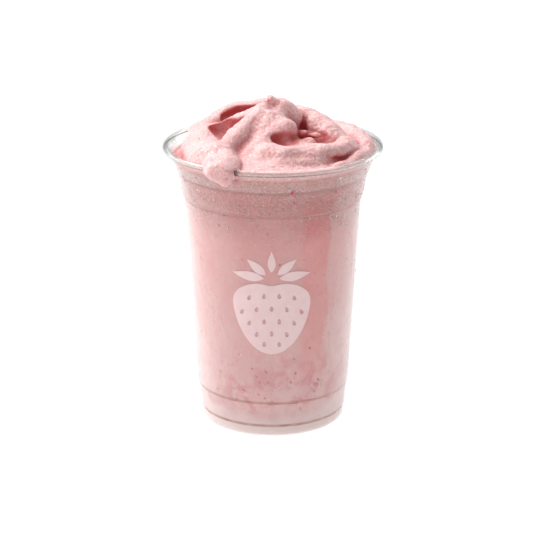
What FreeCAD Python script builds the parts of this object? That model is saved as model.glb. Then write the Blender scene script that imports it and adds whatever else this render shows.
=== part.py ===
# Strawberry milkshake in a clear plastic cup, modelled as two pieces:
#   cup        thin-walled tapered cup with four ledge rings, a flared mouth and a curled lip
#   milkshake  everything that fills the cup, with the swirled mound and the lobe that
#              runs over the lip; one solid
# Frame: origin on the cup's axis at the level it stands on, +Z up, -Y is the front, where
# the lobe hangs over the lip a little to the left.  All sizes are in millimetres.
import FreeCAD, Part
import math
import os

import Sketcher

V = FreeCAD.Vector

doc = FreeCAD.newDocument("milkshake_part")

# ---------------------------------------------------------------- driving sizes
sheet = doc.addObject("Spreadsheet::Sheet", "dims")
sheet.Label = "dims"
SIZES = [
    # the cup: radii are of the outside of the wall
    ("wall", 0.6), ("floor_thick", 0.8), ("recess_up", 2.4), ("recess_rad", 23.0),
    ("foot_in", 26.2), ("shelf_rad", 23.27), ("channel_in", 26.47), ("channel_out", 29.7),
    ("foot_rad", 29.9), ("heel_round", 1.55), ("heel_rad", 31.4),
    ("ledge_one_low", 5.0), ("ledge_one_rad", 31.62), ("ledge_one_out", 0.42),
    ("ledge_two_low", 16.0), ("ledge_two_rad", 33.12), ("ledge_two_out", 0.38),
    ("body_low", 21.2), ("body_low_rad", 33.83), ("body_top", 97.0), ("body_top_rad", 38.05),
    ("ledge_three_low", 101.0), ("ledge_three_rad", 38.6), ("ledge_three_out", 0.5),
    ("shoulder", 107.0), ("shoulder_rad", 39.95),
    ("ledge_four_low", 112.0), ("ledge_four_rad", 41.2), ("ledge_four_out", 0.4),
    ("ledge_tall", 0.65),
    ("mouth_low", 120.4), ("mouth_low_rad", 44.4),
    ("lip_mid_rad", 46.05), ("lip_mid_up", 122.1), ("lip_tube", 1.45), ("lip_sheet", 0.55),
    ("lip_close", 120.0),
    # the milkshake inside: the plane where the fill ends and the mound starts
    ("fill_level", 115.0), ("wall_gap", 0.05),
    # the mound's core dome, and the level at which the drink meets the wall: raised at the
    # front, lowered on the left
    ("dome_up", 109.5), ("dome_wide", 46.5), ("dome_tall", 20.6), ("slab_up", 120.0),
    ("slab_front", 1.9), ("slab_left", 3.4), ("slab_wave", 0.25), ("slab_soft", 2.5),
    # gentle unevenness of every fold
    ("sway_wide", 0.42), ("sway_fine", 0.22),
]
# each fold: azimuth (degrees, anticlockwise from +X), distance from the axis, height of its
# middle line and half thickness, at its start, middle and end, then how softly it joins
FOLDS = [
    ("ring_fold", 118, 34, -50, 37.0, 38.8, 41.0, 119.6, 120.6, 120.4, 5.0, 5.4, 2.2, 1.6),
    ("back_fold", 168, 112, 60, 25.0, 24.0, 21.0, 125.6, 127.5, 128.5, 6.6, 6.2, 5.6, 2.0),
    ("upper_fold", 70, 8, -14, 12.5, 18.5, 33.0, 131.0, 130.0, 122.8, 6.0, 6.6, 5.0, 1.6),
    ("left_fold", 152, 190, 232, 26.0, 29.6, 34.8, 123.0, 121.6, 118.6, 8.4, 9.5, 8.2, 1.6),
    ("crown_fold", 104, 150, 178, 9.5, 17.0, 31.0, 135.8, 134.2, 125.8, 4.4, 4.9, 6.0, 2.0),
    ("inner_fold", 180, 186, 194, 6.0, 16.5, 28.0, 137.0, 132.6, 127.2, 2.8, 3.4, 5.0, 1.8),
    ("spine_fold", 214, 224, 229, 3.6, 17.3, 33.0, 139.2, 131.2, 123.4, 2.6, 4.4, 6.4, 3.0),
    ("front_fold", -19, -57, -97, 33.5, 30.5, 25.5, 123.6, 123.7, 124.3, 5.0, 5.4, 5.2, 1.0),
    ("face_fold", -40, -62, -92, 32.0, 32.8, 30.4, 119.4, 120.2, 119.6, 4.6, 5.6, 5.4, 1.0),
]
# straight tapered stretches, as stations (x, y, height, half thickness)
CORDS = [
    ("skirt", 3.0, [(0, -4, 129, 10.2), (-5, -16, 121.8, 9.6), (-7, -27, 117.5, 8.6)]),
    ("peak", 1.8, [(2.5, -1, 130.0, 9.5), (3.4, 0, 135.6, 6.4), (-1.0, -1.2, 143.4, 1.3)]),
    ("brow", 1.6, [(-1.0, -1.2, 143.4, 1.3), (3.4, -0.2, 139.0, 4.2), (7.4, -0.5, 134.2, 4.8)]),
    ("slot", 1.2, [(-6.5, 3.6, 138.6, 1.5), (-13.5, 3.0, 136.6, 2.7), (-20.5, 2.0, 134.0, 1.8)]),
    # the lobe: a left and a right finger and the ridge between them, which meet in one tip;
    # here (azimuth, distance from the axis, height, radius)
    ("lobe_left", 0, [(232.5, 35.0, 120.8, 5.6), (236.5, 42.6, 121.9, 5.0), (242.5, 47.0, 120.4, 3.2), (246.0, 48.4, 118.5, 1.9)]),
    ("lobe_right", 0, [(244.0, 35.0, 120.6, 5.6), (246.6, 42.6, 121.7, 4.9), (247.0, 46.8, 120.4, 3.4), (246.0, 48.4, 118.5, 1.9)]),
    ("lobe_ridge", 0, [(238.0, 37.0, 123.4, 4.2), (242.0, 43.6, 123.4, 3.6), (244.5, 47.0, 121.4, 2.6)]),
]
# rounded lumps and hollows: centre, half widths, softness
EGGS = [
    ("apron", -3.0, -33.0, 118.2, 15.0, 9.0, 6.0, 2.0),
    ("left_bowl", -20.2, -7.4, 133.2, 6.4, 4.6, 5.2, 1.8),
    ("knob", 5.2, -10.2, 131.4, 6.2, 5.0, 4.8, 2.0),
    ("knob_bowl", 6.0, -18.6, 130.6, 6.8, 3.0, 3.6, 1.2),
    ("side_cave", 15.2, -8.5, 131.8, 4.4, 3.4, 3.2, 1.2),
    ("cave_bead", 13.6, -10.6, 130.6, 2.3, 1.5, 1.5, 0.8),
    ("cave_curl", 18.0, -11.8, 129.8, 2.6, 1.4, 1.2, 0.8),
    ("cave_lump", 15.5, -14.5, 127.4, 2.8, 2.0, 2.0, 1.0),
]
# the order in which the mound is built up; a minus sign takes away
STEPS = ["ring_fold", "back_fold", "upper_fold", "left_fold", "crown_fold", "skirt", "inner_fold", "spine_fold",
         "apron", "peak", "brow", "-slot", "-left_bowl", "knob", "-knob_bowl", "-side_cave", "front_fold",
         "face_fold", "cave_bead", "cave_curl", "cave_lump"]
FOLD_KEYS = ("from", "via", "to", "near", "mid", "far", "rise_a", "rise_b", "rise_c", "half_a", "half_b", "half_c", "soft")
EGG_KEYS = ("cx", "cy", "cz", "wide", "deep", "tall", "soft")
for row in FOLDS:
    for key, val in zip(FOLD_KEYS, row[1:]):
        SIZES.append((row[0] + "_" + key, val))
for row in EGGS:
    for key, val in zip(EGG_KEYS, row[1:]):
        SIZES.append((row[0] + "_" + key, val))
for name, soft, line in CORDS:
    SIZES.append((name + "_soft", soft))
    for i, at in enumerate(line):
        for key, val in zip(("pa", "pb", "pc", "pd"), at):
            SIZES.append(("%s_%s_%s" % (name, "abcd"[i], key), val))
for i, (name, value) in enumerate(SIZES, start=1):
    sheet.set("A%d" % i, name)
    sheet.set("B%d" % i, repr(float(value)))
    sheet.setAlias("B%d" % i, name)
doc.recompute()


def D(name):
    """Value of one driving size, read from the sheet."""
    return float(getattr(sheet, name))


def plane(body, role):
    for f in body.Origin.OriginFeatures:
        if f.Role == role:
            return f


# ---------------------------------------------------------------- sketch helper
class Profile:
    """Closed half section in the XZ plane, made of corners whose two distances from the
    origin are bound to expressions, joined by straight lines or arcs."""

    def __init__(self, sketch):
        self.sk = sketch
        self.n = 0

    def fix(self, geo, end, x, z):
        """Bind one end of a geometry to a point given by two (expression, value) pairs."""
        for kind, (expr, val) in (("DistanceX", x), ("DistanceY", z)):
            if expr is None:
                continue
            if abs(val) < 1e-9:
                # a corner on the axis or on the base plane
                axis = -2 if kind == "DistanceX" else -1
                self.sk.addConstraint(Sketcher.Constraint("PointOnObject", geo, end, axis))
                continue
            c = self.sk.addConstraint(Sketcher.Constraint(kind, -1, 1, geo, end, val))
            self.sk.setExpression("Constraints[%d]" % c, expr)


def evaluate(expr):
    """Value of an expression over the sheet's sizes."""
    sheet.set("D1", "=" + expr.replace("dims.", ""))
    sheet.recompute()
    return float(sheet.get("D1"))


def corner(xe, ze):
    return ((xe, evaluate(xe)), (ze, evaluate(ze)))


def build_loop(sketch, corners, arcs):
    """corners: list of (x expression, z expression).  arcs: {index: radius expression} for
    the side that leaves that corner, bulging to the right of the way it is drawn."""
    prof = Profile(sketch)
    pts = [corner(xe, ze) for xe, ze in corners]
    n = len(pts)
    geos = []
    for i in range(n):
        a, b = pts[i], pts[(i + 1) % n]
        ax, az, bx, bz = a[0][1], a[1][1], b[0][1], b[1][1]
        if i in arcs:
            r = evaluate(arcs[i])
            mx, mz = (ax + bx) / 2, (az + bz) / 2
            dx, dz = bx - ax, bz - az
            half = math.hypot(dx, dz) / 2
            off = math.sqrt(max(r * r - half * half, 0.0))
            nx, nz = -dz / (2 * half), dx / (2 * half)      # left of the way it is drawn
            cx, cz = mx + nx * off, mz + nz * off
            a0 = math.atan2(az - cz, ax - cx)
            a1 = math.atan2(bz - cz, bx - cx)
            g = sketch.addGeometry(Part.ArcOfCircle(Part.Circle(V(cx, cz, 0), V(0, 0, 1), r), a0, a1), False)
            c = sketch.addConstraint(Sketcher.Constraint("Radius", g, r))
            sketch.setExpression("Constraints[%d]" % c, arcs[i])
        else:
            g = sketch.addGeometry(Part.LineSegment(V(ax, az, 0), V(bx, bz, 0)), False)
        geos.append(g)
    for i in range(n):
        sketch.addConstraint(Sketcher.Constraint("Coincident", geos[i], 2, geos[(i + 1) % n], 1))
        prof.fix(geos[i], 1, pts[i][0], pts[i][1])
    return geos


# ---------------------------------------------------------------- the cup
# Outside of the wall from the foot up, as (radius, height) expressions.
OUTER = [
    ("dims.heel_rad", "dims.heel_round"),
    ("dims.ledge_one_rad", "dims.ledge_one_low"),
    ("dims.ledge_one_rad + dims.ledge_one_out", "dims.ledge_one_low + dims.ledge_tall"),
    ("dims.ledge_two_rad", "dims.ledge_two_low"),
    ("dims.ledge_two_rad + dims.ledge_two_out", "dims.ledge_two_low + dims.ledge_tall"),
    ("dims.body_low_rad", "dims.body_low"),
    ("dims.body_top_rad", "dims.body_top"),
    ("dims.ledge_three_rad", "dims.ledge_three_low"),
    ("dims.ledge_three_rad + dims.ledge_three_out", "dims.ledge_three_low + dims.ledge_tall"),
    ("dims.shoulder_rad", "dims.shoulder"),
    ("dims.ledge_four_rad", "dims.ledge_four_low"),
    ("dims.ledge_four_rad + dims.ledge_four_out", "dims.ledge_four_low + dims.ledge_tall"),
    ("dims.mouth_low_rad", "dims.mouth_low"),
]
# Inside of the wall, the same corners one wall thickness in, from the mouth down.
INNER = [(x + " - dims.wall", z) for x, z in reversed(OUTER[1:])]

cup = doc.addObject("PartDesign::Body", "cup")
cup.Label = "cup"
sk = cup.newObject("Sketcher::SketchObject", "cup_section")
sk.AttachmentSupport = [(plane(cup, "XZ_Plane"), "")]
sk.MapMode = "FlatFace"
corners = [("0 * dims.wall", "dims.recess_up"),
           ("dims.recess_rad", "dims.recess_up"),
           ("dims.foot_in", "0 * dims.wall"),
           ("dims.foot_rad", "0 * dims.wall")]
arcs = {3: "dims.heel_round"}
corners += OUTER
# the wall's outside ends under the curl, its inside at the curl's start
corners += [("dims.lip_mid_rad - dims.lip_tube + dims.lip_sheet", "dims.lip_mid_up"),
            ("dims.lip_mid_rad - dims.lip_tube", "dims.lip_mid_up")]
corners += INNER
# the contents also fill the ring-shaped channel round the raised middle of the base
corners += [("dims.heel_rad - dims.wall", "dims.floor_thick + 1.1"),
            ("dims.channel_out", "dims.floor_thick"),
            ("dims.channel_in", "dims.floor_thick"),
            ("dims.shelf_rad", "dims.recess_up + dims.floor_thick"),
            ("0 * dims.wall", "dims.recess_up + dims.floor_thick")]
build_loop(sk, corners, arcs)
doc.recompute()
rev = cup.newObject("PartDesign::Revolution", "cup_wall")
rev.Profile = sk
rev.ReferenceAxis = (sk, ["V_Axis"])
rev.Angle = 360.0
doc.recompute()

# the curled lip: a sheet rolled outwards and down, its free edge just clear of the wall
lip = cup.newObject("Sketcher::SketchObject", "lip_section")
lip.AttachmentSupport = [(plane(cup, "XZ_Plane"), "")]
lip.MapMode = "FlatFace"
cx, cz, ro = D("lip_mid_rad"), D("lip_mid_up"), D("lip_tube")
ri = ro - D("lip_sheet")
a_end = math.radians(-D("lip_close"))
g_out = lip.addGeometry(Part.ArcOfCircle(Part.Circle(V(cx, cz, 0), V(0, 0, 1), ro), a_end, math.pi), False)
g_in = lip.addGeometry(Part.ArcOfCircle(Part.Circle(V(cx, cz, 0), V(0, 0, 1), ri), a_end, math.pi), False)
p_o = V(cx + ro * math.cos(a_end), cz + ro * math.sin(a_end), 0)
p_i = V(cx + ri * math.cos(a_end), cz + ri * math.sin(a_end), 0)
g_e = lip.addGeometry(Part.LineSegment(p_i, p_o), False)
g_s = lip.addGeometry(Part.LineSegment(V(cx - ro, cz, 0), V(cx - ri, cz, 0)), False)


def bind(sketch, con, expr):
    c = sketch.addConstraint(con)
    sketch.setExpression("Constraints[%d]" % c, expr)


lip.addConstraint(Sketcher.Constraint("Coincident", g_out, 3, g_in, 3))
bind(lip, Sketcher.Constraint("DistanceX", -1, 1, g_out, 3, cx), "dims.lip_mid_rad")
bind(lip, Sketcher.Constraint("DistanceY", -1, 1, g_out, 3, cz), "dims.lip_mid_up")
bind(lip, Sketcher.Constraint("Radius", g_out, ro), "dims.lip_tube")
bind(lip, Sketcher.Constraint("Radius", g_in, ri), "dims.lip_tube - dims.lip_sheet")
lip.addConstraint(Sketcher.Constraint("Coincident", g_e, 1, g_in, 1))
lip.addConstraint(Sketcher.Constraint("Coincident", g_e, 2, g_out, 1))
lip.addConstraint(Sketcher.Constraint("Coincident", g_s, 1, g_out, 2))
lip.addConstraint(Sketcher.Constraint("Coincident", g_s, 2, g_in, 2))
bind(lip, Sketcher.Constraint("DistanceX", -1, 1, g_out, 1, p_o.x),
     "dims.lip_mid_rad + dims.lip_tube * cos(dims.lip_close * 1deg)")
bind(lip, Sketcher.Constraint("DistanceX", -1, 1, g_in, 1, p_i.x),
     "dims.lip_mid_rad + (dims.lip_tube - dims.lip_sheet) * cos(dims.lip_close * 1deg)")
bind(lip, Sketcher.Constraint("DistanceY", -1, 1, g_out, 2, cz), "dims.lip_mid_up")
bind(lip, Sketcher.Constraint("DistanceY", -1, 1, g_in, 2, cz), "dims.lip_mid_up")
doc.recompute()
curl = cup.newObject("PartDesign::Revolution", "lip_curl")
curl.Profile = lip
curl.ReferenceAxis = (lip, ["V_Axis"])
curl.Angle = 360.0
cup.Tip = curl
doc.recompute()

# ---------------------------------------------------------------- the fill below the mound
# A blank that reaches half way into the wall; the cup is cut from it further down, so that
# the fill takes the cup's own inside, ledges and all.
fill = doc.addObject("PartDesign::Body", "fill_blank")
fs = fill.newObject("Sketcher::SketchObject", "fill_section")
fs.AttachmentSupport = [(plane(fill, "XZ_Plane"), "")]
fs.MapMode = "FlatFace"
half = " - dims.wall / 2"
slope = ("(dims.fill_level - dims.ledge_four_low - dims.ledge_tall) / "
         "(dims.mouth_low - dims.ledge_four_low - dims.ledge_tall)")
fill_corners = [("0 * dims.wall", "dims.recess_up + dims.floor_thick / 2"),
                ("(dims.recess_rad + dims.shelf_rad) / 2", "dims.recess_up + dims.floor_thick / 2"),
                ("(dims.foot_in + dims.channel_in) / 2", "dims.floor_thick / 2"),
                ("dims.channel_out", "dims.floor_thick / 2"),
                ("dims.heel_rad" + half, "dims.floor_thick + 0.95")]
fill_corners += [(x + half, z) for x, z in OUTER[1:-1]]
fill_corners += [("dims.ledge_four_rad + dims.ledge_four_out + (dims.mouth_low_rad - dims.ledge_four_rad"
                  " - dims.ledge_four_out) * " + slope + half, "dims.fill_level"),
                 ("0 * dims.wall", "dims.fill_level")]
build_loop(fs, fill_corners, {})
doc.recompute()
frev = fill.newObject("PartDesign::Revolution", "fill_turn")
frev.Profile = fs
frev.ReferenceAxis = (fs, ["V_Axis"])
frev.Angle = 360.0
doc.recompute()


# ---------------------------------------------------------------- the mound's form
def clamp(v, lo, hi):
    return lo if v < lo else hi if v > hi else v


def smin(a, b, k):
    """Soft joining of two distances."""
    t = max(k - abs(a - b), 0.0) / k
    return min(a, b) - t * t * k * 0.25


def smax(a, b, k):
    return -smin(-a, -b, k)


def fold_stations(name, count=14):
    """Middle line of a fold: it turns about the axis while it moves out and down, along the
    quadratic through its start, middle and end."""
    def along(keys, u):
        p, m, q = (D(name + "_" + k) for k in keys)
        return p * (1 - u) * (1 - 2 * u) + m * 4 * u * (1 - u) + q * u * (2 * u - 1)
    out = []
    for i in range(count + 1):
        u = i / count
        a = math.radians(along(("from", "via", "to"), u))
        rr = along(("near", "mid", "far"), u)
        out.append((rr * math.cos(a), rr * math.sin(a), along(("rise_a", "rise_b", "rise_c"), u),
                    along(("half_a", "half_b", "half_c"), u)))
    return out


def cord_stations(name):
    n = len([c for c in CORDS if c[0] == name][0][2])
    return [tuple(D("%s_%s_%s" % (name, "abcd"[i], k)) for k in ("pa", "pb", "pc", "pd")) for i in range(n)]


def chain(line, x, y, z):
    """Distance to a tapered round cord along a line of stations."""
    best = 1e9
    for i in range(len(line) - 1):
        ax, ay, az, aw = line[i]
        bx, by, bz, bw = line[i + 1]
        dx, dy, dz = bx - ax, by - ay, bz - az
        px, py, pz = x - ax, y - ay, z - az
        t = clamp((px * dx + py * dy + pz * dz) / (dx * dx + dy * dy + dz * dz), 0.0, 1.0)
        qx, qy, qz = px - dx * t, py - dy * t, pz - dz * t
        d = math.sqrt(qx * qx + qy * qy + qz * qz) - (aw + (bw - aw) * t)
        if d < best:
            best = d
    return best


def egg(x, y, z, cx, cy, cz, rx, ry, rz):
    """Approximate distance to an ellipsoid."""
    ex, ey, ez = (x - cx) / rx, (y - cy) / ry, (z - cz) / rz
    k = math.sqrt(ex * ex + ey * ey + ez * ez)
    return (k - 1.0) * min(rx, ry, rz)


DOME = (D("dome_up"), D("dome_wide"), D("dome_tall"))
SWAY = (D("sway_wide"), D("sway_fine"))
SLAB = tuple(D("slab_" + k) for k in ("up", "front", "left", "wave", "soft"))
FOLD_NAMES = [f[0] for f in FOLDS]
CORD_NAMES = [c[0] for c in CORDS]
PLAN = []
for step in STEPS:
    name = step.lstrip("-")
    soft = D(name + "_soft")
    if name in FOLD_NAMES or name in CORD_NAMES:
        line = fold_stations(name) if name in FOLD_NAMES else cord_stations(name)
        w = max(q[3] for q in line) + soft + 1.5
        box = (min(q[0] for q in line) - w, max(q[0] for q in line) + w,
               min(q[1] for q in line) - w, max(q[1] for q in line) + w)
        PLAN.append((step[0] == "-", "cord", line, soft, box))
    else:
        e = tuple(D(name + "_" + k) for k in EGG_KEYS[:-1])
        w = soft + 1.5
        box = (e[0] - e[3] - w, e[0] + e[3] + w, e[1] - e[4] - w, e[1] + e[4] + w)
        PLAN.append((step[0] == "-", "egg", e, soft, box))


def slab_height(turn_deg):
    """Height at which the drink meets the wall, by direction."""
    def near(c, lo, hi):
        f = clamp((math.cos(math.radians(turn_deg - c)) - lo) / (hi - lo), 0.0, 1.0)
        return f * f * (3 - 2 * f)
    return (SLAB[0] + SLAB[1] * near(275.0, 0.55, 0.9) - SLAB[2] * near(168.0, 0.4, 0.85)
            + SLAB[3] * math.sin(math.radians(turn_deg * 3 + 40)))


def mound(x, y, z, plan, slab):
    """Signed distance to the mound: negative inside."""
    p, q = SWAY
    wx = x + p * math.sin(0.31 * y + 0.9 + 0.17 * z) + q * math.sin(0.63 * z + 0.41 * x + 2.1)
    wy = y + p * math.sin(0.29 * x + 2.3 - 0.21 * z) + q * math.sin(0.57 * z - 0.37 * y + 0.4)
    wz = z + p * math.sin(0.27 * x + 0.33 * y + 1.1) + q * math.sin(0.66 * y - 0.52 * x + 3.0)
    d = egg(wx, wy, wz, 0.0, 0.0, DOME[0], DOME[1], DOME[1], DOME[2])
    d = smin(d, z - slab, SLAB[4])
    for away, kind, form, soft, _ in plan:
        part = chain(form, wx, wy, wz) if kind == "cord" else egg(wx, wy, wz, *form)
        d = smax(d, -part, soft) if away else smin(d, part, soft)
    return d


def crest(x, y):
    """Height of the mound's surface over a point, found from above."""
    plan = [q for q in PLAN if q[4][0] < x < q[4][1] and q[4][2] < y < q[4][3]]
    slab = slab_height(math.degrees(math.atan2(y, x)))
    z = 147.0
    for _ in range(44):
        d = mound(x, y, z, plan, slab)
        if d < 0.04 or z < 112.0:
            break
        z -= max(d * 0.8, 0.1)
    return z


def inside_radius(z):
    """Inside radius of the flared mouth at a height, as the cup's section has it."""
    z0 = D("ledge_four_low") + D("ledge_tall")
    r0 = D("ledge_four_rad") + D("ledge_four_out") - D("wall")
    z1, r1 = D("mouth_low"), D("mouth_low_rad") - D("wall")
    return r0 + (r1 - r0) * (z - z0) / (z1 - z0)


# Rings of corners from the axis outwards, then two down the wall to the fill's level.
TURNS = 96
RINGS = 36
level = D("fill_level")
gap = D("wall_gap")
edge_up = []
for j in range(TURNS):
    a = 2 * math.pi * j / TURNS
    edge_up.append(clamp(crest(43.2 * math.cos(a), 43.2 * math.sin(a)), level + 1.2, D("mouth_low") - 0.3))
grid = []
for i in range(1, RINGS + 1):
    ring = []
    for j in range(TURNS):
        a = 2 * math.pi * j / TURNS
        r_edge = inside_radius(edge_up[j]) - gap
        if i == RINGS:
            rr, zz = r_edge, edge_up[j]
        else:
            rr = r_edge * i / RINGS
            zz = max(crest(rr * math.cos(a), rr * math.sin(a)), level + 1.2)
        ring.append(V(rr * math.cos(a), rr * math.sin(a), zz))
    grid.append(ring)
r_low = inside_radius(level) - gap
grid.append([V(r_low * math.cos(2 * math.pi * j / TURNS), r_low * math.sin(2 * math.pi * j / TURNS), level)
             for j in range(TURNS)])
top = V(0, 0, crest(0.0, 0.0))
faces = []


def tri(a, b, c):
    faces.append(Part.Face(Part.makePolygon([a, b, c, a])))


for j in range(TURNS):
    k = (j + 1) % TURNS
    tri(top, grid[0][j], grid[0][k])
    for i in range(len(grid) - 1):
        a, b, c, e = grid[i][j], grid[i + 1][j], grid[i + 1][k], grid[i][k]
        # the shorter diagonal, so that ridges stay sharp
        if (a - c).Length <= (b - e).Length:
            tri(a, b, c)
            tri(a, c, e)
        else:
            tri(a, b, e)
            tri(b, c, e)
faces.append(Part.Face(Part.makePolygon(grid[-1] + [grid[-1][0]])))
shell = Part.Shell(faces)
shell.sewShape()
mound_solid = Part.Solid(shell)
if mound_solid.Volume < 0:
    mound_solid.reverse()
print("mound facets", len(faces), "volume", round(mound_solid.Volume, 1), "valid", mound_solid.isValid())
mound_obj = doc.addObject("Part::Feature", "mound")
mound_obj.Shape = mound_solid

# ---------------------------------------------------------------- the lobe over the lip
def station(turn_deg, out, up):
    t = math.radians(turn_deg)
    return V(out * math.cos(t), out * math.sin(t), up)


parts = []
for name in ("lobe_left", "lobe_right", "lobe_ridge"):
    stations = [(station(a, o, u), r) for a, o, u, r in cord_stations(name)]
    for c, r in stations:
        parts.append(Part.makeSphere(r, c))
    for (c0, r0), (c1, r1) in zip(stations, stations[1:]):
        # the cone that touches both balls
        axis = c1 - c0
        dist = axis.Length
        n = axis * (1.0 / dist)
        s = (r0 - r1) / dist
        co = math.sqrt(1.0 - s * s)
        parts.append(Part.makeCone(r0 * co, r1 * co, dist + (r1 - r0) * s, c0 + n * (r0 * s), n))
lobe_shape = parts[0].multiFuse(parts[1:])
lobe_obj = doc.addObject("Part::Feature", "lobe")
lobe_obj.Shape = lobe_shape

# the curl's hollow stays empty under the lobe
core = doc.addObject("Part::Torus", "curl_core")
core.setExpression("Radius1", "dims.lip_mid_rad")
core.setExpression("Radius2", "dims.lip_tube - dims.lip_sheet / 2")
core.setExpression("Placement.Base.z", "dims.lip_mid_up")
doc.recompute()

# ---------------------------------------------------------------- the milkshake, one solid
clear = cup.Shape.fuse(core.Shape)
low = fill.Shape.cut(cup.Shape)
low = max(low.Solids, key=lambda s: s.Volume)
over = lobe_shape.cut(clear)
over = max(over.Solids, key=lambda s: s.Volume)
whole = low.fuse(mound_solid)
whole = whole.fuse(over)
print("solids after fusing", [round(s.Volume, 1) for s in whole.Solids])
milkshake = doc.addObject("Part::Feature", "milkshake")
milkshake.Label = "milkshake"
milkshake.Shape = max(whole.Solids, key=lambda s: s.Volume)

# ---------------------------------------------------------------- test and write
doc.recompute()
for obj in doc.Objects:
    if "Invalid" in obj.State or "Error" in obj.State:
        raise RuntimeError("failed object: " + obj.Name + " " + str(obj.State))
nodes = [cup, milkshake]
for obj in nodes:
    if obj.Shape.isNull() or not obj.Shape.isValid():
        raise RuntimeError("bad shape: " + obj.Label)
    if len(obj.Shape.Solids) != 1:
        raise RuntimeError("not one solid: " + obj.Label + " " + str(len(obj.Shape.Solids)))
    bb = obj.Shape.BoundBox
    print(obj.Label, "volume", round(obj.Shape.Volume, 1), "faces", len(obj.Shape.Faces),
          "box", [round(v, 2) for v in (bb.XMin, bb.XMax, bb.YMin, bb.YMax, bb.ZMin, bb.ZMax)])
os.makedirs("parts", exist_ok=True)
for obj in nodes:
    obj.Shape.exportStep("parts/" + obj.Label + ".step")
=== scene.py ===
import math

import bpy
import numpy as np
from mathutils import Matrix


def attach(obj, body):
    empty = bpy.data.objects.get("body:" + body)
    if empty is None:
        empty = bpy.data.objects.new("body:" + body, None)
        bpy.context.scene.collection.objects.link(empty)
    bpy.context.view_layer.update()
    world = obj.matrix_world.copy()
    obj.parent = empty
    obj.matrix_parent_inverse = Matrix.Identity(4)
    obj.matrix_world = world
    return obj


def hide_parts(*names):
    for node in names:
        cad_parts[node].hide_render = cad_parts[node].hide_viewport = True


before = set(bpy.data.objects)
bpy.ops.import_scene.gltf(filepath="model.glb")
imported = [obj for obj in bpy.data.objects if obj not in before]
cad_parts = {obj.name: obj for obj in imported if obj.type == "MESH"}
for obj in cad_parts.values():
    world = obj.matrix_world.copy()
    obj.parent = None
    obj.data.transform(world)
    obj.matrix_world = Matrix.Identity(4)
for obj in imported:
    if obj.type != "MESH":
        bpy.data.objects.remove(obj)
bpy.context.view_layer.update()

import openvdb
from mathutils import Vector
from mathutils.geometry import delaunay_2d_cdt

MM = 0.001
scene = bpy.context.scene

# ------------------------------------------------------------------ the cup's section, as in the CAD
SECTION = [(0.0, 29.9), (1.55, 31.4), (5.0, 31.62), (5.65, 32.04), (16.0, 33.12), (16.65, 33.5), (21.2, 33.83),
           (97.0, 38.05), (101.0, 38.6), (101.65, 39.1), (107.0, 39.95), (112.0, 41.2), (112.65, 41.6),
           (120.4, 44.4), (122.1, 45.15), (130.0, 45.15)]
SEC_Z = np.array([p[0] for p in SECTION])
SEC_R = np.array([p[1] for p in SECTION])
WALL = 0.6
LIP_R, LIP_Z, LIP_TUBE = 46.05, 122.1, 1.45


def wall_out(z):
    return np.interp(z, SEC_Z, SEC_R)


# ------------------------------------------------------------------ small helpers
def add_mesh(name, verts, faces, smooth=True):
    me = bpy.data.meshes.new(name)
    verts = np.asarray(verts, np.float32) * MM
    if isinstance(faces, np.ndarray):
        n, k = faces.shape
        me.vertices.add(len(verts))
        me.vertices.foreach_set("co", verts.ravel())
        me.loops.add(n * k)
        me.loops.foreach_set("vertex_index", faces.astype(np.int32).ravel())
        me.polygons.add(n)
        me.polygons.foreach_set("loop_start", np.arange(0, n * k, k, dtype=np.int32))
        me.polygons.foreach_set("loop_total", np.full(n, k, np.int32))
        me.update(calc_edges=True)
    else:
        me.from_pydata([tuple(map(float, v)) for v in verts], [], faces)
        me.update()
    me.validate()
    if smooth:
        me.polygons.foreach_set("use_smooth", np.ones(len(me.polygons), bool))
    ob = bpy.data.objects.new(name, me)
    scene.collection.objects.link(ob)
    return ob


def attribute(ob, name, values):
    at = ob.data.attributes.new(name, "FLOAT", "POINT")
    at.data.foreach_set("value", np.asarray(values, np.float32))


class Lattice:
    """Smooth random values over space, in numpy, the same every run."""

    def __init__(self, seed, cells=32):
        r = np.random.default_rng(seed)
        self.n = cells
        self.v = r.uniform(-1, 1, (cells, cells, cells)).astype(np.float32)

    def __call__(self, P, size):
        q = np.asarray(P, np.float32) / size + 1000.0
        i = np.floor(q).astype(np.int64)
        f = (q - i).astype(np.float32)
        f = f * f * (3 - 2 * f)
        i %= self.n
        j = (i + 1) % self.n
        out = 0
        for a in (0, 1):
            for b in (0, 1):
                for c in (0, 1):
                    w = ((f[..., 0] if a else 1 - f[..., 0]) * (f[..., 1] if b else 1 - f[..., 1])
                         * (f[..., 2] if c else 1 - f[..., 2]))
                    out = out + w * self.v[(j if a else i)[..., 0], (j if b else i)[..., 1], (j if c else i)[..., 2]]
        return out


# ------------------------------------------------------------------ the mound, as a distance field
STEP = 0.46
LOW = 112.3                   # where the mound's mesh meets the fill's mesh, behind a ledge ring
AX = np.arange(-51.0, 51.0 + STEP, STEP, dtype=np.float32)
AY = np.arange(-51.0, 49.0 + STEP, STEP, dtype=np.float32)
AZ = np.arange(LOW - 3.0, 148.0, STEP, dtype=np.float32)


def warp(x, y, z):
    """Gentle unevenness, so that no fold is a perfect tube."""
    wx = 0.42 * np.sin(0.31 * y + 0.9 + 0.17 * z) + 0.22 * np.sin(0.63 * z + 0.41 * x + 2.1)
    wy = 0.42 * np.sin(0.29 * x + 2.3 - 0.21 * z) + 0.22 * np.sin(0.57 * z - 0.37 * y + 0.4)
    wz = 0.40 * np.sin(0.27 * x + 0.33 * y + 1.1) + 0.22 * np.sin(0.66 * y - 0.52 * x + 3.0)
    return wx, wy, wz


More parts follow.
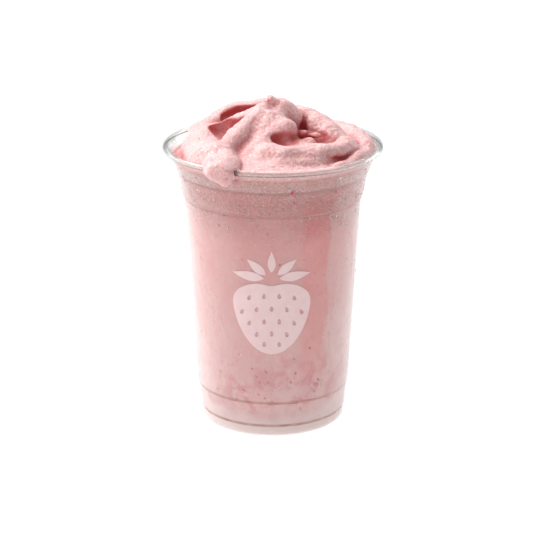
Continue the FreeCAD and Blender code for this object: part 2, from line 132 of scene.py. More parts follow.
class Field:
    def __init__(self):
        self.X, self.Y, self.Z = np.meshgrid(AX, AY, AZ, indexing="ij")
        wx, wy, wz = warp(self.X, self.Y, self.Z)
        self.wx, self.wy, self.wz = self.X + wx, self.Y + wy, self.Z + wz
        self.d = np.full(self.X.shape, 9.0, np.float32)

    def block(self, lo, hi):
        s = []
        for ax, l, h in zip((AX, AY, AZ), lo, hi):
            a = max(int(np.searchsorted(ax, l)), 0)
            b = min(int(np.searchsorted(ax, h)) + 1, len(ax))
            s.append(slice(a, b))
        return tuple(s)

    def chain(self, line, margin=5.0, squash=1.0):
        """Distance to a tapered cord along stations (x, y, z, half thickness)."""
        out = None
        pts = np.array(line, np.float32)
        m = margin + pts[:, 3].max() + 1.5
        whole = self.block(pts[:, :3].min(0) - m, pts[:, :3].max(0) + m)
        out = np.full(self.d[whole].shape, 9.0, np.float32)
        base = [s.start for s in whole]
        for a, b in zip(pts[:-1], pts[1:]):
            mm = margin + max(a[3], b[3]) + 1.5
            s = self.block(np.minimum(a[:3], b[:3]) - mm, np.maximum(a[:3], b[:3]) + mm)
            if any(q.stop <= q.start for q in s):
                continue
            loc = tuple(slice(q.start - o, q.stop - o) for q, o in zip(s, base))
            px, py, pz = self.wx[s] - a[0], self.wy[s] - a[1], (self.wz[s] - a[2]) / squash
            dx, dy, dz = b[0] - a[0], b[1] - a[1], (b[2] - a[2]) / squash
            t = np.clip((px * dx + py * dy + pz * dz) / (dx * dx + dy * dy + dz * dz), 0, 1)
            d = np.sqrt((px - dx * t) ** 2 + (py - dy * t) ** 2 + (pz - dz * t) ** 2) - (a[3] + (b[3] - a[3]) * t)
            out[loc] = np.minimum(out[loc], d)
        return whole, out

    def egg(self, c, r, margin=5.0):
        c, r = np.array(c, np.float32), np.array(r, np.float32)
        s = self.block(c - r - margin, c + r + margin)
        k = np.sqrt(((self.wx[s] - c[0]) / r[0]) ** 2 + ((self.wy[s] - c[1]) / r[1]) ** 2
                    + ((self.wz[s] - c[2]) / r[2]) ** 2)
        return s, (k - 1) * r.min()

    def join(self, piece, k):
        s, d = piece
        a = self.d[s]
        t = np.maximum(k - np.abs(a - d), 0) / k
        self.d[s] = np.minimum(a, d) - t * t * k * 0.25

    def cut(self, piece, k):
        s, d = piece
        a, b = self.d[s], -d
        t = np.maximum(k - np.abs(a - b), 0) / k
        self.d[s] = np.maximum(a, b) + t * t * k * 0.25


def fold(turn, out, up, half, n=20):
    """Stations of a fold that turns about the axis while it moves out and down.
    Each argument is (start, end) or (start, middle, end)."""
    def along(v, u):
        if len(v) == 2:
            return v[0] + (v[1] - v[0]) * u
        a, m, b = v
        return a * (1 - u) * (1 - 2 * u) + m * 4 * u * (1 - u) + b * u * (2 * u - 1)
    st = []
    for i in range(n + 1):
        u = i / n
        t = math.radians(along(turn, u))
        r = along(out, u)
        st.append((r * math.cos(t), r * math.sin(t), along(up, u), along(half, u)))
    return st


def polar(deg, out, up, half):
    t = math.radians(deg)
    return (out * math.cos(t), out * math.sin(t), up, half)


LOBE_TURN = 245.0


def slab_height(turn_deg):
    """Height at which the drink meets the wall, by direction: highest at the front, lowest on the left."""
    def near(c, lo, hi):
        f = np.clip((np.cos(np.radians(turn_deg - c)) - lo) / (hi - lo), 0, 1)
        return f * f * (3 - 2 * f)
    return 120.0 + 1.9 * near(275.0, 0.55, 0.9) - 3.4 * near(168.0, 0.4, 0.85) + 0.25 * np.sin(np.radians(turn_deg * 3 + 40))


def build_mound():
    F = Field()
    soft = 2.0
    # the core dome
    k = np.sqrt((F.wx / 46.5) ** 2 + (F.wy / 46.5) ** 2 + ((F.wz - 109.5) / 20.6) ** 2)
    F.d = ((k - 1) * 20.6).astype(np.float32)
    rad = np.sqrt(F.X ** 2 + F.Y ** 2)
    turn = np.degrees(np.arctan2(F.Y[:, :, :1], F.X[:, :, :1]))
    slab = F.Z - slab_height(turn)
    t = np.maximum(2.5 - np.abs(F.d - slab), 0) / 2.5
    F.d = (np.minimum(F.d, slab) - t * t * 2.5 * 0.25).astype(np.float32)
    # folds: turn about the axis, distance from it, height and half thickness, each from start over middle to end
    F.join(F.chain(fold((118, 34, -50), (37.0, 38.8, 41.0), (119.6, 120.6, 120.4), (5.0, 5.4, 2.2), 28)), 1.6)     # ring
    F.join(F.chain(fold((168, 112, 60), (25.0, 24.0, 21.0), (125.6, 127.5, 128.5), (6.6, 6.2, 5.6))), soft)        # back
    F.join(F.chain(fold((70, 8, -14), (12.5, 18.5, 33.0), (131.0, 130.0, 122.8), (6.0, 6.6, 5.0))), 1.6)           # upper
    F.join(F.chain(fold((152, 190, 232), (26.0, 29.6, 34.8), (123.0, 121.6, 118.6), (8.4, 9.5, 8.2))), 1.6)        # left
    F.join(F.chain(fold((104, 150, 178), (9.5, 17.0, 31.0), (135.8, 134.2, 125.8), (4.4, 4.9, 6.0))), soft)        # crown
    F.join(F.chain([(0, -4, 129, 10.2), (-5, -16, 121.8, 9.6), (-7, -27, 117.5, 8.6)]), 3.0)                       # skirt
    F.join(F.chain(fold((180, 186, 194), (6.0, 16.5, 28.0), (137.0, 132.6, 127.2), (2.8, 3.4, 5.0))), 1.8)         # inner
    F.join(F.chain(fold((214, 224, 229), (3.6, 17.3, 33.0), (139.2, 131.2, 123.4), (2.6, 4.4, 6.4))), 3.0)         # spine
    F.join(F.egg((-3.0, -33.0, 118.2), (15.0, 9.0, 6.0)), soft)                                                    # apron
    # the peak and its shoulder
    F.join(F.chain([(2.5, -1, 130.0, 9.5), (3.4, 0, 135.6, 6.4), (-1.0, -1.2, 143.4, 1.3)]), 1.8)
    F.join(F.chain([(-1.0, -1.2, 143.4, 1.3), (3.4, -0.2, 139.0, 4.2), (7.4, -0.5, 134.2, 4.8)]), 1.6)
    # hollows
    F.cut(F.chain([(-6.5, 3.6, 138.6, 1.5), (-13.5, 3.0, 136.6, 2.7), (-20.5, 2.0, 134.0, 1.8)]), 1.2)
    F.cut(F.egg((-20.2, -7.2, 132.6), (6.6, 4.8, 6.2)), 1.8)
    F.join(F.egg((5.2, -10.2, 131.4), (6.2, 5.0, 4.8)), 2.0)                                                       # knob
    F.cut(F.egg((6.0, -18.6, 130.6), (6.8, 3.0, 3.6)), 1.2)
    F.cut(F.egg((15.2, -8.5, 131.8), (4.4, 3.4, 3.2)), 1.2)
    F.join(F.chain(fold((-19, -57, -97), (33.5, 30.5, 25.5), (123.6, 123.7, 124.3), (5.0, 5.4, 5.2), 24)), 1.0)    # front
    F.join(F.chain(fold((-40, -62, -92), (32.0, 32.8, 30.4), (119.4, 120.2, 119.6), (4.6, 5.6, 5.4), 20)), 1.0)    # face under it
    F.join(F.egg((13.6, -10.6, 130.6), (2.3, 1.5, 1.5)), 0.8)
    F.join(F.egg((18.0, -11.8, 129.8), (2.6, 1.4, 1.2)), 0.8)
    F.join(F.egg((15.5, -14.5, 127.4), (2.8, 2.0, 2.0)), 1.0)
    # inside the mouth the mound keeps just inside the wall's middle, and below the lip's tube
    mid = (wall_out(AZ) - WALL / 2).astype(np.float32)[None, None, :]
    lip = np.sqrt((rad - LIP_R) ** 2 + (F.Z - LIP_Z) ** 2)
    F.d = np.maximum(F.d, rad - mid)
    F.d = np.maximum(F.d, LIP_TUBE - 0.12 - lip)
    # the lobe runs over the lip and hangs on the outside of the wall
    whole, lobe = F.chain([polar(231, 33.0, 120.8, 9.0), polar(238, 41.0, 122.4, 8.4), polar(243, 45.4, 121.9, 7.2),
                           polar(245, 47.4, 119.8, 4.6), polar(246, 48.6, 117.9, 2.2)], 9.0, 0.62)
    ridge, top = F.chain([polar(236, 36.0, 124.0, 3.4), polar(241, 43.0, 124.6, 2.6), polar(244, 47.0, 121.6, 1.8)], 6.0)
    loc = tuple(slice(c.start - a.start, c.stop - a.start) for a, c in zip(whole, ridge))
    u = lobe[loc]
    t = np.maximum(2.6 - np.abs(u - top), 0) / 2.6
    lobe[loc] = np.minimum(u, top) - t * t * 2.6 * 0.25
    r, z = rad[whole], F.Z[whole]
    wall = np.abs(r - (wall_out(z) - WALL / 2)) - (WALL / 2 - 0.15)
    lobe = np.maximum(lobe, np.where(z < LIP_Z + 0.2, -wall, -9.0))
    lobe = np.maximum(lobe, LIP_TUBE - 0.12 - lip[whole])
    t = np.maximum(1.5 - np.abs(lobe - (r - 51.2)), 0) / 1.5
    lobe = np.maximum(lobe, r - 51.2) + t * t * 1.5 * 0.25
    F.join((whole, lobe.astype(np.float32)), 0.9)
    F.d = np.maximum(F.d, LOW - F.Z)
    return F


def mesh_of(F):
    g = openvdb.FloatGrid(background=3.0)
    g.copyFromArray(np.clip(F.d, -3, 3).astype(np.float32))
    g.transform = openvdb.createLinearTransform(voxelSize=1.0)
    pts, quads = g.convertToQuads()
    pts = pts * STEP + np.array([AX[0], AY[0], AZ[0]])
    return pts, quads


def sample(F, P, d=None):
    """Trilinear value of the field at points."""
    d = F.d if d is None else d
    q = (P - np.array([AX[0], AY[0], AZ[0]])) / STEP
    q = np.clip(q, 0, np.array(d.shape) - 1.001)
    i = q.astype(int)
    f = q - i
    out = 0
    for a in (0, 1):
        for b in (0, 1):
            for c in (0, 1):
                w = (f[:, 0] if a else 1 - f[:, 0]) * (f[:, 1] if b else 1 - f[:, 1]) * (f[:, 2] if c else 1 - f[:, 2])
                out = out + w * d[i[:, 0] + a, i[:, 1] + b, i[:, 2] + c]
    return out


def gradient(F, P, e=0.5):
    g = np.stack([sample(F, P + np.eye(3)[k] * e) - sample(F, P - np.eye(3)[k] * e) for k in range(3)], -1)
    return g / np.maximum(np.linalg.norm(g, axis=1, keepdims=True), 1e-6)


F = build_mound()
pts, quads = mesh_of(F)
nrm = gradient(F, pts)
r_p = np.hypot(pts[:, 0], pts[:, 1])
# free surface: what air touches, away from wall and lip
free = np.clip((wall_out(pts[:, 2]) - WALL / 2 - r_p - 0.1) / 1.2, 0, 1)
lip_gap = np.hypot(r_p - LIP_R, pts[:, 2] - LIP_Z) - LIP_TUBE
free = np.where(r_p > 44.2, np.clip(lip_gap / 0.8, 0, 1), free)
free = np.where((r_p > 44.8) & (pts[:, 2] < LIP_Z), np.clip((r_p - wall_out(pts[:, 2]) - 0.1) / 0.8, 0, 1) * free, free)
free = np.where(pts[:, 2] < LOW + 0.5, 0, free)
# icy grain: lumps of a few sizes pushed in and out along the surface
n1, n2, n3 = Lattice(3), Lattice(5), Lattice(8)
rough = 0.75 + 0.6 * Lattice(11)(pts, 9.0)
grain = 0.3 * n2(pts, 1.9) * rough + 0.9 * n3(pts, 1.0) * rough
lumps = 0.14 * n1(pts, 4.2) + 0.24 * grain
pts2 = pts + nrm * (lumps * free)[:, None]
# painted shade: how deep each point sits among its neighbours, to darken the colour of hollows
shade = 0
for h, w in ((0.8, 0.22), (1.8, 0.3), (3.5, 0.28), (6.0, 0.2)):
    shade = shade + w * np.clip(1 - sample(F, pts + nrm * h) / h, 0, 1.2)
# more painted shade in the hollows below, for a deeper pink there
for c, half, k in (((-20.2, -7.0, 133.6), (7.2, 5.2, 5.4), 0.5), ((-13.5, 3.0, 136.6), (8.5, 3.6, 3.4), 0.5),
                   ((6.0, -18.0, 129.8), (7.6, 4.2, 4.4), 0.2), ((15.2, -8.5, 131.4), (4.8, 4.0, 4.0), 0.25)):
    q = np.linalg.norm((pts - np.array(c)) / np.array(half), axis=1)
    f = np.clip((1.35 - q) / 0.8, 0, 1)
    shade = shade + k * f * f * (3 - 2 * f)
mound = add_mesh("mound", pts2, quads)
# painted shade, kept on the mound for its colour
attribute(mound, "deep", np.clip(shade, 0, 1))
# the grain's lumps, for painted highlights on crests and painted shade in pits
attribute(mound, "grain", np.clip(0.5 + 0.5 * grain, 0, 1))
print("mound", len(pts), len(quads))


# ------------------------------------------------------------------ the fill behind the wall
def turned(name, rz, turns=192):
    """Closed body of revolution through (radius, height) points, first and last on the axis."""
    verts, faces = [], []
    rz = list(rz)
    a = np.arange(turns) * 2 * math.pi / turns
    verts.append((0, 0, rz[0][1]))
    for r, z in rz[1:-1]:
        verts += [(r * math.cos(t), r * math.sin(t), z) for t in a]
    verts.append((0, 0, rz[-1][1]))
    n = len(rz) - 2
    for j in range(turns):
        k = (j + 1) % turns
        faces.append((0, 1 + k, 1 + j))
        for i in range(n - 1):
            o, p = 1 + i * turns, 1 + (i + 1) * turns
            faces.append((o + j, o + k, p + k, p + j))
        o = 1 + (n - 1) * turns
        faces.append((o + j, o + k, len(verts) - 1))
    return add_mesh(name, verts, faces)


rz = [(0, 2.8), (12, 2.8), (23.13, 2.8), (26.33, 0.4), (29.5, 0.4), (30.4, 0.85), (31.05, 1.75)]
zz = sorted(set([3.0] + [z for z, _ in SECTION if 4 < z < LOW] + list(np.arange(8, LOW, 4.0))))
zz += [LOW]
rz += [(float(wall_out(z)) - WALL / 2, z) for z in zz]
rz += [(20.0, LOW), (0, LOW)]
fill = turned("fill", rz)

# ------------------------------------------------------------------ node materials
def srgb(r, g, b, a=1.0):
    def f(c):
        c /= 255.0
        return c / 12.92 if c <= 0.04045 else ((c + 0.055) / 1.055) ** 2.4
    return (f(r), f(g), f(b), a)


class Mat:
    def __init__(self, name):
        self.m = bpy.data.materials.new(name)
        self.m.use_nodes = True
        self.t = self.m.node_tree
        self.t.nodes.clear()
        self.out = self.t.nodes.new("ShaderNodeOutputMaterial")

    def node(self, kind, **props):
        n = self.t.nodes.new(kind)
        for k, v in props.items():
            setattr(n, k, v)
        return n

    def link(self, a, b):
        self.t.links.new(a, b)

    def put(self, socket, v):
        if hasattr(v, "is_output"):
            self.link(v, socket)
        else:
            socket.default_value = v

    def pos(self):
        return self.node("ShaderNodeTexCoord").outputs["Object"]

    def scaled(self, vec, sx, sy, sz):
        n = self.node("ShaderNodeMapping")
        n.inputs["Scale"].default_value = (sx, sy, sz)
        self.link(vec, n.inputs["Vector"])
        return n.outputs[0]

    def noise(self, vec, size_mm, detail=2.0, rough=0.5, distort=0.0):
        n = self.node("ShaderNodeTexNoise")
        self.link(vec, n.inputs["Vector"])
        n.inputs["Scale"].default_value = 1000.0 / size_mm
        n.inputs["Detail"].default_value = detail
        n.inputs["Roughness"].default_value = rough
        n.inputs["Distortion"].default_value = distort
        return n.outputs["Fac"]

    def cells(self, vec, size_mm, out="Distance", rand=1.0):
        n = self.node("ShaderNodeTexVoronoi")
        self.link(vec, n.inputs["Vector"])
        n.inputs["Scale"].default_value = 1000.0 / size_mm
        n.inputs["Randomness"].default_value = rand
        return n.outputs[out]

    def math(self, op, a, b=None, c=None, clamp=False):
        n = self.node("ShaderNodeMath", operation=op, use_clamp=clamp)
        self.put(n.inputs[0], a)
        if b is not None:
            self.put(n.inputs[1], b)
        if c is not None:
            self.put(n.inputs[2], c)
        return n.outputs[0]

    def ramp(self, v, lo, hi, a=0.0, b=1.0, smooth=True):
        n = self.node("ShaderNodeMapRange", interpolation_type="SMOOTHSTEP" if smooth else "LINEAR", clamp=True)
        self.put(n.inputs["Value"], v)
        for k, x in (("From Min", lo), ("From Max", hi), ("To Min", a), ("To Max", b)):
            self.put(n.inputs[k], x)
        return n.outputs["Result"]

    def mix(self, fac, a, b, mode="MIX"):
        n = self.node("ShaderNodeMix", data_type="RGBA", blend_type=mode)
        self.put(n.inputs["Factor"], fac)
        self.put(n.inputs[6], a)
        self.put(n.inputs[7], b)
        return n.outputs[2]

    def bump(self, height, strength, mm, normal=None):
        n = self.node("ShaderNodeBump")
        n.inputs["Strength"].default_value = strength
        n.inputs["Distance"].default_value = mm * MM
        self.link(height, n.inputs["Height"])
        if normal is not None:
            self.link(normal, n.inputs["Normal"])
        return n.outputs[0]

    def principled(self, **kw):
        n = self.node("ShaderNodeBsdfPrincipled")
        for k, v in kw.items():
            self.put(n.inputs[k.replace("_", " ")], v)
        return n

    def finish(self, shader):
        self.link(shader, self.out.inputs["Surface"])
        return self.m


def xyz(M):
    s = M.node("ShaderNodeSeparateXYZ")
    M.link(M.pos(), s.inputs[0])
    return s.outputs


PINK = srgb(238, 183, 182)
PINK_PALE = srgb(253, 234, 232)
# colour of the painted shade in the mound's hollows
PINK_PAINTED_SHADE = srgb(188, 72, 72)


def mound_material():
    M = Mat("milkshake_top")
    p = M.pos()
    big = M.noise(p, 14.0, 2.0)
    mid = M.noise(p, 2.6, 3.0, 0.6)
    fine = M.noise(p, 0.75, 2.0, 0.65)
    speck = M.noise(p, 0.45, 1.0, 0.6)
    deep = M.node("ShaderNodeAttribute", attribute_name="deep").outputs["Fac"]
    grain = M.node("ShaderNodeAttribute", attribute_name="grain").outputs["Fac"]
    c = M.mix(M.ramp(big, 0.35, 0.65), PINK, srgb(232, 170, 170))
    c = M.mix(M.ramp(mid, 0.48, 0.75, 0.0, 0.3), c, PINK_PALE)
    # the grain's crests are painted pale as highlights, its pits painted darker pink as shade
    c = M.mix(M.ramp(grain, 0.55, 0.95, 0.0, 0.4), c, PINK_PALE)
    c = M.mix(M.ramp(grain, 0.08, 0.42, 0.4, 0.0), c, srgb(218, 134, 134))
    # painted shade: darker pink where the fine bump sinks; painted sparkle: white where it rises
    c = M.mix(M.ramp(fine, 0.34, 0.5, 0.4, 0.0), c, srgb(214, 124, 122))
    c = M.mix(M.ramp(fine, 0.53, 0.68, 0.0, 0.55), c, srgb(255, 248, 246))
    # painted highlight: crests with little painted shade are paler
    c = M.mix(M.ramp(deep, 0.02, 0.24, 0.14, 0.0), c, srgb(255, 238, 236))
    # painted shade: hollows darken towards a deep pink
    c = M.mix(M.ramp(deep, 0.13, 0.64, 0.0, 0.95), c, PINK_PAINTED_SHADE)
    b = M.bump(speck, 0.5, 0.22)
    b = M.bump(fine, 0.6, 0.4, b)
    b = M.bump(mid, 0.4, 0.6, b)
    sh = M.principled(Base_Color=c, Roughness=0.36, IOR=1.36, Normal=b)
    sh.inputs["Specular IOR Level"].default_value = 0.55
    sh.inputs["Subsurface Weight"].default_value = 0.3
    sh.inputs["Subsurface Radius"].default_value = (1.0, 0.45, 0.4)
    sh.inputs["Subsurface Scale"].default_value = 0.0018
    return M.finish(sh.outputs[0])


def fill_material():
    M = Mat("milkshake_fill")
    p = M.pos()
    x, y, z = xyz(M)
    big = M.noise(M.scaled(p, 1, 1, 0.55), 16.0, 2.0)
    streak = M.noise(M.scaled(p, 1, 1, 0.12), 5.0, 2.0, 0.5, 0.3)
    mid = M.noise(p, 2.2, 3.0, 0.6)
    blot = M.noise(p, 8.0, 4.0, 0.62, 0.7)
    # painted light and shade: paler low down, darker towards the top under the lip
    c = M.mix(M.ramp(z, 0.0, 0.118), srgb(240, 182, 179), srgb(231, 147, 147))
    c = M.mix(M.ramp(big, 0.35, 0.65, 0.0, 0.5), c, srgb(238, 176, 173))
    c = M.mix(M.ramp(streak, 0.5, 0.72, 0.0, 0.3), c, srgb(228, 146, 146))
    low = M.ramp(z, 0.018, 0.045, 1.0, 0.12)
    c = M.mix(M.math("MULTIPLY", M.ramp(blot, 0.46, 0.62, 0.0, 0.75), low), c, srgb(222, 98, 112))
    c = M.mix(M.ramp(mid, 0.5, 0.75, 0.0, 0.25), c, srgb(246, 214, 210))
    # painted light: the foot ring and the band over it are painted paler, lifting the shade near the floor
    c = M.mix(M.ramp(z, 0.0045, 0.0062, 0.9, 0.0), c, srgb(252, 214, 210))
    sh = M.principled(Base_Color=c, Roughness=0.6, IOR=1.36)
    sh.inputs["Specular IOR Level"].default_value = 0.1
    sh.inputs["Subsurface Weight"].default_value = 0.3
    sh.inputs["Subsurface Radius"].default_value = (1.0, 0.45, 0.4)
    sh.inputs["Subsurface Scale"].default_value = 0.0025
    return M.finish(sh.outputs[0])


def cup_material():
    """Thin clear plastic with a breath of cold mist on it: what is behind shows through."""
    M = Mat("clear_cup")
    x, y, z = xyz(M)
    p = M.pos()
    facing = M.node("ShaderNodeLayerWeight")
    facing.inputs["Blend"].default_value = 0.5
    edge = facing.outputs["Facing"]
    free = M.ramp(z, 0.1185, 0.1205)
    tint = M.mix(M.ramp(edge, 0.45, 1.0), srgb(250, 251, 250), srgb(236, 239, 239))
    tint = M.mix(free, srgb(252, 251, 250), tint)
    # ledge rings bend light away from the viewer and read as soft brownish lines with a pale one below
    def band(lo, up, down, wide):
        a = M.ramp(z, lo - down - wide, lo - down, 0, 1)
        b = M.ramp(z, lo + up, lo + up + wide, 1, 0)
        return M.math("MULTIPLY", a, b)
    lines = None
    for lo, k in ((0.0050, 0.95), (0.0160, 0.8), (0.1010, 0.7), (0.1120, 0.6)):
        l = M.math("MULTIPLY", band(lo + 0.0002, 0.0003, 0.0003, 0.0007), k)
        lines = l if lines is None else M.math("MAXIMUM", lines, l)
    lines = M.math("MULTIPLY", lines, M.ramp(M.noise(p, 6.0, 2.0), 0.3, 0.7, 0.65, 1.0))
    tint = M.mix(M.math("MULTIPLY", lines, 0.8), tint, srgb(206, 168, 156))
    # beads too fine to model speckle the band under the lip; its darkening is partly the beads and partly painted shade
    # from the lip
    bead = M.cells(p, 0.85)
    wet_band_painted_light = M.ramp(z, 0.086, 0.108, 0.0, 1.0)
    wet_band_painted_light = M.math("MULTIPLY", wet_band_painted_light, M.ramp(z, 0.1175, 0.119, 1.0, 0.0))
    tint = M.mix(M.math("MULTIPLY", wet_band_painted_light, M.ramp(bead, 0.2, 0.5, 0.12, 0.66)), tint, srgb(214, 178, 170))
    # painted shade: a dark ring on the lower outside of the lip's tube
    r = M.math("SQRT", M.math("ADD", M.math("MULTIPLY", x, x), M.math("MULTIPLY", y, y)))
    lip_painted_shade = M.math("MULTIPLY", M.ramp(r, 0.0462, 0.0466, 0, 1), band(0.1212, 0.0001, 0.0001, 0.0003))
    tint = M.mix(M.math("MULTIPLY", lip_painted_shade, 0.8), tint, srgb(120, 112, 104))
    # mist: thicker low down, thin under the lip, with a clearer patch to the right of the front
    turn = M.math("ARCTAN2", y, x)
    patchy = M.noise(M.scaled(p, 1, 1, 0.5), 9.0, 4.0, 0.65, 0.5)
    veil = M.ramp(z, 0.012, 0.112, 0.24, 0.13, False)
    off = M.math("ADD", turn, M.math("MULTIPLY", M.math("SUBTRACT", patchy, 0.5), 0.22))
    clear_a = M.ramp(off, -1.30, -1.14, 0, 1)
    clear_b = M.ramp(off, -0.93, -0.84, 1, 0)
    clear_z = M.math("MULTIPLY", M.ramp(z, 0.012, 0.05), M.ramp(z, 0.096, 0.112, 1, 0.35))
    hole = M.math("MULTIPLY", M.math("MULTIPLY", clear_a, clear_b), clear_z)
    veil = M.math("MULTIPLY", veil, M.math("SUBTRACT", 1.0, M.math("MULTIPLY", hole, 0.9)))
    veil = M.math("MULTIPLY", veil, M.ramp(patchy, 0.3, 0.7, 0.85, 1.15))
    veil = M.math("ADD", veil, M.ramp(z, 0.003, 0.014, 0.26, 0.0))
    # painted highlights: a pale dot at each bead's centre
    veil = M.math("ADD", veil, M.math("MULTIPLY", wet_band_painted_light, M.ramp(bead, 0.12, 0.3, 0.34, 0.0)))
    veil = M.math("DIVIDE", veil, M.ramp(edge, 0.0, 0.9, 1.0, 0.25, False))
    veil = M.math("MULTIPLY", veil, M.ramp(z, 0.1165, 0.119, 1.0, 0.12))
    veil = M.math("MINIMUM", veil, 0.5)
    veil = M.math("MAXIMUM", veil, M.math("MULTIPLY", lines, 0.5))
    wob = M.bump(M.noise(p, 9.0, 2.0), 0.04, 0.6)
    clear = M.node("ShaderNodeBsdfTransparent")
    M.link(tint, clear.inputs["Color"])
    mist = M.node("ShaderNodeBsdfDiffuse")
    M.link(M.mix(lines, srgb(250, 247, 245), srgb(176, 122, 106)), mist.inputs["Color"])
    skin = M.node("ShaderNodeMixShader")
    M.link(veil, skin.inputs[0])
    M.link(clear.outputs[0], skin.inputs[1])
    M.link(mist.outputs[0], skin.inputs[2])
    gloss = M.node("ShaderNodeBsdfGlossy")
    gloss.inputs["Roughness"].default_value = 0.13
    gloss.inputs["Color"].default_value = (1, 1, 1, 1)
    M.link(wob, gloss.inputs["Normal"])
    fr = M.node("ShaderNodeFresnel")
    # the same share of mirror from either side of the sheet
    back = M.node("ShaderNodeNewGeometry").outputs["Backfacing"]
    M.link(M.ramp(back, 0.0, 1.0, 1.57, 1 / 1.57, False), fr.inputs["IOR"])
    M.link(wob, fr.inputs["Normal"])
    mx = M.node("ShaderNodeMixShader")
    M.link(fr.outputs[0], mx.inputs[0])
    M.link(skin.outputs[0], mx.inputs[1])
    M.link(gloss.outputs[0], mx.inputs[2])
    return M.finish(mx.outputs[0])


def water_material():
    M = Mat("water_drops")
    n = M.noise(M.pos(), 1.4, 1.0)
    sh = M.principled(Base_Color=M.mix(M.ramp(n, 0.3, 0.7), srgb(255, 250, 249), srgb(252, 240, 238)), Roughness=0.08, IOR=1.15)
    sh.inputs["Transmission Weight"].default_value = 0.85
    return M.finish(sh.outputs[0])


def berry_material():
    M = Mat("berry_bits")
    p = M.pos()
    c = M.mix(M.ramp(M.noise(p, 3.0, 2.0), 0.35, 0.65), srgb(226, 24, 58), srgb(236, 66, 88))
    c = M.mix(M.ramp(M.noise(p, 0.5, 2.0), 0.5, 0.75, 0.0, 0.5), c, srgb(230, 120, 122))
    sh = M.principled(Base_Color=c, Roughness=0.35, IOR=1.36, Normal=M.bump(M.noise(p, 0.4, 2.0), 0.4, 0.15))
    sh.inputs["Subsurface Weight"].default_value = 0.2
    sh.inputs["Subsurface Radius"].default_value = (1.0, 0.2, 0.15)
    sh.inputs["Subsurface Scale"].default_value = 0.0008
    return M.finish(sh.outputs[0])


def seed_material():
    M = Mat("berry_seeds")
    p = M.pos()
    c = M.mix(M.ramp(M.noise(p, 1.2, 2.0), 0.35, 0.65), srgb(226, 176, 60), srgb(206, 128, 52))
    c = M.mix(M.ramp(M.noise(p, 0.3, 2.0), 0.5, 0.8, 0.0, 0.4), c, srgb(240, 206, 120))
    sh = M.principled(Base_Color=c, Roughness=0.4, IOR=1.45, Normal=M.bump(M.noise(p, 0.25, 2.0), 0.3, 0.1))
    return M.finish(sh.outputs[0])


def print_material():
    """Pale translucent ink, a little uneven in cover."""
    M = Mat("pale_ink")
    p = M.pos()
    n = M.noise(p, 5.0, 3.0, 0.6)
    f = M.noise(p, 0.6, 2.0, 0.6)
    c = M.mix(M.ramp(n, 0.35, 0.65), srgb(255, 224, 224), srgb(252, 218, 218))
    c = M.mix(M.ramp(f, 0.5, 0.8, 0.0, 0.4), c, srgb(255, 236, 235))
    sh = M.principled(Base_Color=c, Roughness=0.42, IOR=1.45, Normal=M.bump(f, 0.2, 0.05))
    sh.inputs["Alpha"].default_value = 0.9
    return M.finish(sh.outputs[0])


# ------------------------------------------------------------------ droplets, berry bits and seeds
def domes(turn, high, size, flat, sides, shape):
    """Small water domes that sit on the outside of the wall, each one closed: vertices and triangles."""
    n = len(turn)
    ring = np.arange(sides) * 2 * np.pi / sides
    top = len(shape) - 1
    local = []
    for rr, hh in shape:
        local += [(rr * math.cos(t), rr * math.sin(t), hh) for t in ring]
    local += [(0, 0, 1.0), (0, 0, 0.0)]
    local = np.array(local)
    nv = len(local)
    faces = []
    for k in range(top):
        for j in range(sides):
            a, b = k * sides + j, k * sides + (j + 1) % sides
            faces += [(a, b, b + sides), (a, b + sides, a + sides)]
    for j in range(sides):
        a, b = top * sides + j, top * sides + (j + 1) % sides
        faces.append((a, b, (top + 1) * sides))
        faces.append(((j + 1) % sides, j, (top + 1) * sides + 1))
    faces = np.array(faces)
    r0 = wall_out(high)
    slope = (wall_out(high + 0.5) - wall_out(high - 0.5))
    ct, st = np.cos(turn), np.sin(turn)
    out = np.stack([ct, st, -slope], 1)
    out /= np.linalg.norm(out, axis=1, keepdims=True)
    side = np.stack([-st, ct, 0 * ct], 1)
    up = np.cross(out, side)
    up *= -1 if up[0, 2] < 0 else 1
    base = np.stack([r0 * ct, r0 * st, high], 1)
    rng = np.random.default_rng(77)
    tall = rng.uniform(0.85, 1.3, n)
    V = (base[:, None] + side[:, None] * (local[None, :, 0:1] * size[:, None, None])
         + up[:, None] * (local[None, :, 1:2] * (size * tall)[:, None, None])
         + out[:, None] * ((local[None, :, 2:3] * (size * flat)[:, None, None]) - 0.03))
    # keep each foot on the curved wall
    rad_ = np.hypot(V[..., 0], V[..., 1])
    low = wall_out(V[..., 2]) - 0.02
    f = np.where(rad_ < low, low / rad_, 1.0)
    V[..., 0] *= f
    V[..., 1] *= f
    if np.dot(np.cross(side[0], up[0]), out[0]) < 0:
        faces = faces[:, ::-1]
    Fc = (faces[None] + (np.arange(n) * nv)[:, None, None]).reshape(-1, 3)
    return V.reshape(-1, 3), Fc


